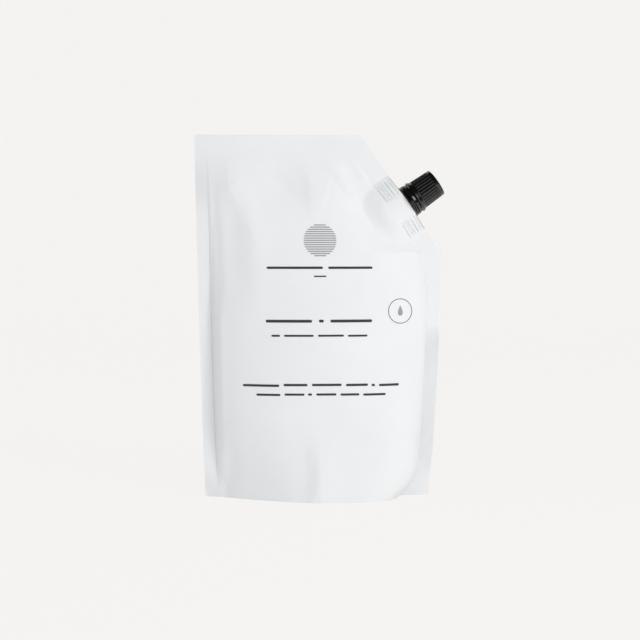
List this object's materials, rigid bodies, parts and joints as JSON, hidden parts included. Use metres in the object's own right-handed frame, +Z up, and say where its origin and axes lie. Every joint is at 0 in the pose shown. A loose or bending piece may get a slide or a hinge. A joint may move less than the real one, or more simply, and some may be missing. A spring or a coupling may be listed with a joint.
{
  "type": "hand soap refill pouch",
  "caption": "Filled stand-up film pouch with a cut upper corner, a weld-in pouring spout and a ribbed screw cap with a tamper band.",
  "frame": {"origin": "centre of the pouch's width at y = 0 on its flat base, where it stands", "axes": "+Z up, +X to the right seen from the front, towards the spout, +Y to the back; the front film faces -Y"},
  "size_m": [0.1411, 0.0474, 0.205],
  "materials": {
    "film": "satin white laminate film, filled with liquid soap",
    "spout_plastic": "black injection-moulded polyethylene",
    "band_plastic": "black injection-moulded polypropylene",
    "cap_plastic": "black injection-moulded polypropylene",
    "liner_foam": "white foamed polyethylene"
  },
  "bodies": {
    "pack": {"pouch": "film", "spout": "spout_plastic", "tamper_band": "band_plastic"},
    "seal": {"cap_liner": "liner_foam"},
    "cap": {"screw_cap": "cap_plastic"}
  },
  "joints": [
    {"name": "cap_rise", "type": "slide", "parent": "pack", "child": "seal", "axis": [0.8206, 0, 0.5716], "range_m": [0, 0.015]},
    {"name": "cap_turn", "type": "hinge", "parent": "seal", "child": "cap", "pos_m": [0.05419, 0, 0.1699], "axis": [0.8206, 0, 0.5716], "range_deg": [0, 900]}
  ],
  "couplings": [
    {"joint": "cap_turn", "follows": "cap_rise", "rad_per_m": 1047.2}
  ]
}
